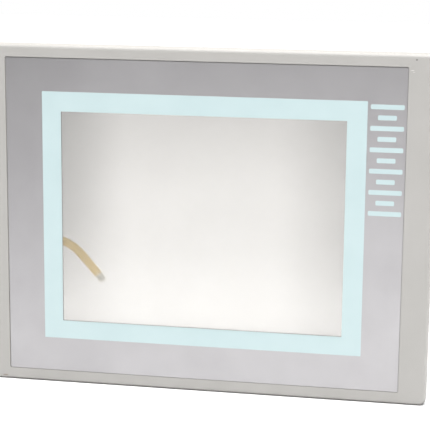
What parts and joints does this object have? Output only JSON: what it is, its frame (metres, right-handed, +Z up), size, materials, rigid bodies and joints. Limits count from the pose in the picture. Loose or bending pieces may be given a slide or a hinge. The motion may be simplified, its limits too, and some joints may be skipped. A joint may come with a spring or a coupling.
{
  "type": "hmi touch panel",
  "caption": "Front unit of a panel-mount touch operator panel: moulded flange and skirt, printed foil with a clear window, resistive touch sensor with a flat tail, seal and screw clamps.",
  "frame": {"origin": "centre of the flange's rear face, which lies on the cabinet sheet, on the axis of the cut-out", "axes": "+Z up, the front faces -Y, +X to the right of someone who faces the panel"},
  "size_m": [0.243, 0.0331, 0.185],
  "materials": {
    "warm_grey_plastic": "fine moulded grain, satin",
    "printed_foil": "silver-grey printed polyester with a pale cyan frame and a clear anti-glare window",
    "adhesive": "milky acrylic adhesive",
    "sensor_film": "clear hard-coated film",
    "sensor_glass": "clear float glass with a faint green edge",
    "black_foam": "closed-cell foam, matt",
    "tail_polyester": "amber film over printed tracks",
    "contact_end": "stiffened end with silver contacts",
    "seal_rubber": "matt black rubber",
    "brass": "knurled, machined",
    "zinc_plated": "zinc-plated die casting, slightly dull",
    "bright_steel": "bright zinc-plated steel",
    "black_nylon": "moulded nylon, matt"
  },
  "bodies": {
    "front_unit": {"front_bezel": "warm_grey_plastic", "front_foil": "printed_foil", "foil_adhesive": "adhesive", "touch_film": "sensor_film", "touch_spacer": "adhesive", "touch_glass": "sensor_glass", "glass_tape": "black_foam", "touch_tail": "tail_polyester", "tail_contacts": "contact_end", "display_gasket": "black_foam", "mounting_seal": "seal_rubber", "insert_1": "brass", "insert_2": "brass", "insert_3": "brass", "insert_4": "brass", "insert_5": "brass", "insert_6": "brass", "insert_7": "brass", "insert_8": "brass", "insert_9": "brass", "insert_10": "brass", "clamp_1_bracket": "zinc_plated", "clamp_2_bracket": "zinc_plated", "clamp_3_bracket": "zinc_plated", "clamp_4_bracket": "zinc_plated"},
    "clamp_1_shoe": {"clamp_1_pad": "black_nylon"},
    "clamp_1_set_screw": {"clamp_1_screw": "bright_steel"},
    "clamp_2_shoe": {"clamp_2_pad": "black_nylon"},
    "clamp_2_set_screw": {"clamp_2_screw": "bright_steel"},
    "clamp_3_shoe": {"clamp_3_pad": "black_nylon"},
    "clamp_3_set_screw": {"clamp_3_screw": "bright_steel"},
    "clamp_4_shoe": {"clamp_4_pad": "black_nylon"},
    "clamp_4_set_screw": {"clamp_4_screw": "bright_steel"}
  },
  "joints": [
    {"name": "clamp_1_pad_slide", "type": "slide", "parent": "front_unit", "child": "clamp_1_shoe", "axis": [0, -1, 0], "range_m": [0, 0.0044]},
    {"name": "clamp_1_screw_turn", "type": "hinge", "parent": "clamp_1_shoe", "child": "clamp_1_set_screw", "pos_m": [-0.065, 0.0071, 0.0874], "axis": [0, -1, 0], "range_deg": [0, 3170]},
    {"name": "clamp_2_pad_slide", "type": "slide", "parent": "front_unit", "child": "clamp_2_shoe", "axis": [0, -1, 0], "range_m": [0, 0.0044]},
    {"name": "clamp_2_screw_turn", "type": "hinge", "parent": "clamp_2_shoe", "child": "clamp_2_set_screw", "pos_m": [0.065, 0.0071, 0.0874], "axis": [0, -1, 0], "range_deg": [0, 3170]},
    {"name": "clamp_3_pad_slide", "type": "slide", "parent": "front_unit", "child": "clamp_3_shoe", "axis": [0, -1, 0], "range_m": [0, 0.0044]},
    {"name": "clamp_3_screw_turn", "type": "hinge", "parent": "clamp_3_shoe", "child": "clamp_3_set_screw", "pos_m": [-0.065, 0.0071, -0.0874], "axis": [0, -1, 0], "range_deg": [0, 3170]},
    {"name": "clamp_4_pad_slide", "type": "slide", "parent": "front_unit", "child": "clamp_4_shoe", "axis": [0, -1, 0], "range_m": [0, 0.0044]},
    {"name": "clamp_4_screw_turn", "type": "hinge", "parent": "clamp_4_shoe", "child": "clamp_4_set_screw", "pos_m": [0.065, 0.0071, -0.0874], "axis": [0, -1, 0], "range_deg": [0, 3170]}
  ],
  "couplings": [
    {"joint": "clamp_1_screw_turn", "follows": "clamp_1_pad_slide", "rad_per_m": 12566},
    {"joint": "clamp_2_screw_turn", "follows": "clamp_2_pad_slide", "rad_per_m": 12566},
    {"joint": "clamp_3_screw_turn", "follows": "clamp_3_pad_slide", "rad_per_m": 12566},
    {"joint": "clamp_4_screw_turn", "follows": "clamp_4_pad_slide", "rad_per_m": 12566}
  ]
}
